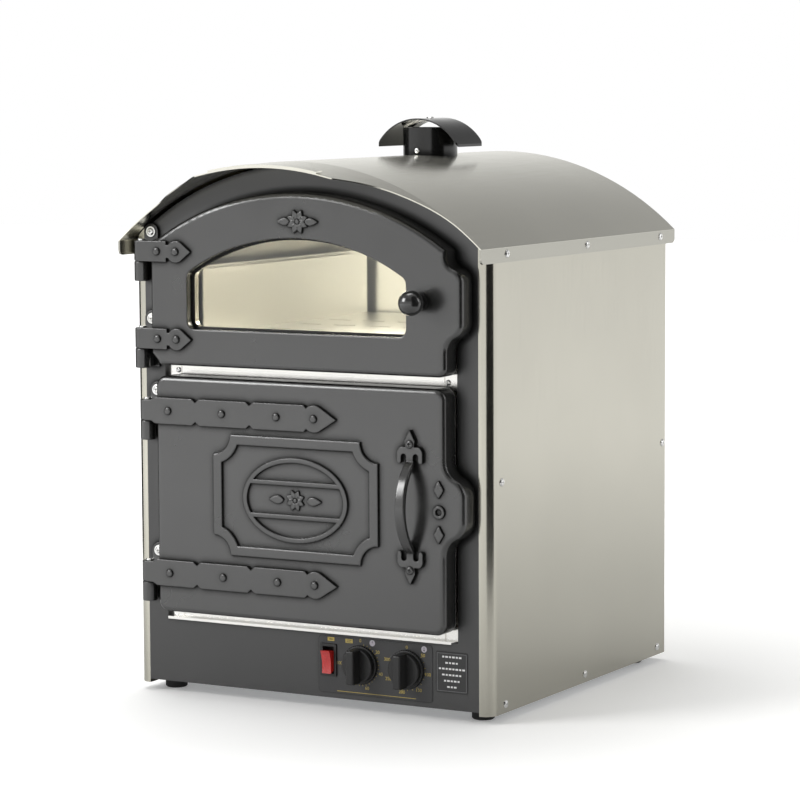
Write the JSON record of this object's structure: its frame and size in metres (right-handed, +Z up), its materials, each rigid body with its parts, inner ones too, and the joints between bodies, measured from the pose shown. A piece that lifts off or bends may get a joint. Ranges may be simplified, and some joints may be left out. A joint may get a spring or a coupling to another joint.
{
  "type": "baked potato oven",
  "caption": "Counter-top potato oven: arched steel casing with a fan oven below, a glazed display cabinet above, side-hung black doors and a short capped flue.",
  "frame": {"origin": "on the counter under the middle of the whole oven's box, half-way from the visor's front edge to the roof's rear edge", "axes": "+X to the oven's right as its user faces it, +Y to the back, +Z up"},
  "size_m": [0.459, 0.552, 0.6423],
  "materials": {
    "stainless": "brushed",
    "polished_stainless": "satin",
    "inner_steel": "satin",
    "black_enamel": "satin",
    "black_iron": "satin",
    "zinc_steel": "bright",
    "chrome_wire": "polished",
    "black_rubber": "matte",
    "oven_glass": "clear",
    "lamp_glass": "frosted",
    "mineral_wool": "matte",
    "black_plastic": "matte",
    "white_ceramic": "glazed",
    "red_plastic": "gloss",
    "heater_steel": "matte",
    "fan_aluminium": "satin",
    "overlay_black": "satin"
  },
  "bodies": {
    "casing": {"right_side_panel": "stainless", "left_side_panel": "stainless", "back_panel": "stainless", "base_pan": "inner_steel", "chassis_frame": "inner_steel", "feet": "black_rubber", "casing_screws": "zinc_steel", "cable_gland": "black_plastic", "fascia": "black_enamel", "front_rails": "polished_stainless", "front_jambs": "polished_stainless", "door_sill": "stainless", "roof": "stainless", "chimney_pipe": "black_enamel", "flue_spigot": "inner_steel", "cowl": "black_enamel", "cowl_bracket": "inner_steel", "cowl_screws": "zinc_steel", "hinge_brackets": "black_iron", "hinge_pins": "zinc_steel", "bracket_screws": "zinc_steel", "door_magnets": "black_plastic", "oven_liner": "inner_steel", "casing_insulation": "mineral_wool", "rack_supports": "chrome_wire", "lower_rack": "chrome_wire", "middle_rack": "chrome_wire", "upper_rack": "chrome_wire", "fan_baffle": "inner_steel", "fan_motor": "heater_steel", "ring_element": "heater_steel", "display_liner": "inner_steel", "display_tray": "polished_stainless", "display_element": "heater_steel", "lamp_holder": "white_ceramic", "display_lamp": "lamp_glass", "switch_housing": "black_plastic", "control_bodies": "white_ceramic", "control_overlay": "overlay_black", "rating_plate": "overlay_black"},
    "upper_leaf": {"upper_door": "black_enamel", "door_window": "oven_glass", "window_retainer": "inner_steel", "upper_door_liner": "inner_steel", "upper_door_seal": "black_rubber", "upper_door_knob": "black_iron", "upper_hinge_straps": "black_iron", "upper_strap_rivets": "black_iron"},
    "lower_leaf": {"lower_door": "black_enamel", "lower_door_liner": "inner_steel", "lower_door_insulation": "mineral_wool", "lower_door_seal": "black_rubber", "lower_door_handle": "black_iron", "handle_screws": "black_iron", "lower_hinge_straps": "black_iron", "lower_strap_rivets": "black_iron"},
    "fan": {"fan_rotor": "fan_aluminium"},
    "timer": {"timer_knob": "black_plastic"},
    "thermostat": {"thermostat_knob": "black_plastic"},
    "rocker": {"switch_rocker": "red_plastic"}
  },
  "joints": [
    {"name": "upper_door_hinge", "type": "hinge", "parent": "casing", "child": "upper_leaf", "pos_m": [-0.1995, -0.2055, 0.45003], "axis": [0, 0, -1], "range_deg": [0, 130]},
    {"name": "lower_door_hinge", "type": "hinge", "parent": "casing", "child": "lower_leaf", "pos_m": [-0.194, -0.2055, 0.2316], "axis": [0, 0, -1], "range_deg": [0, 165]},
    {"name": "timer_turn", "type": "hinge", "parent": "casing", "child": "timer", "pos_m": [0.0643, -0.184, 0.0525], "axis": [0, 1, 0], "range_deg": [0, 330]},
    {"name": "thermostat_turn", "type": "hinge", "parent": "casing", "child": "thermostat", "pos_m": [0.122, -0.184, 0.0525], "axis": [0, 1, 0], "range_deg": [0, 300]},
    {"name": "rocker_tilt", "type": "hinge", "parent": "casing", "child": "rocker", "pos_m": [0.0246, -0.1805, 0.0549], "axis": [-1, 0, 0], "range_deg": [0, 16]},
    {"name": "fan_spin", "type": "hinge", "parent": "casing", "child": "fan", "pos_m": [0, 0.16, 0.2275], "axis": [0, 1, 0], "continuous": true}
  ]
}
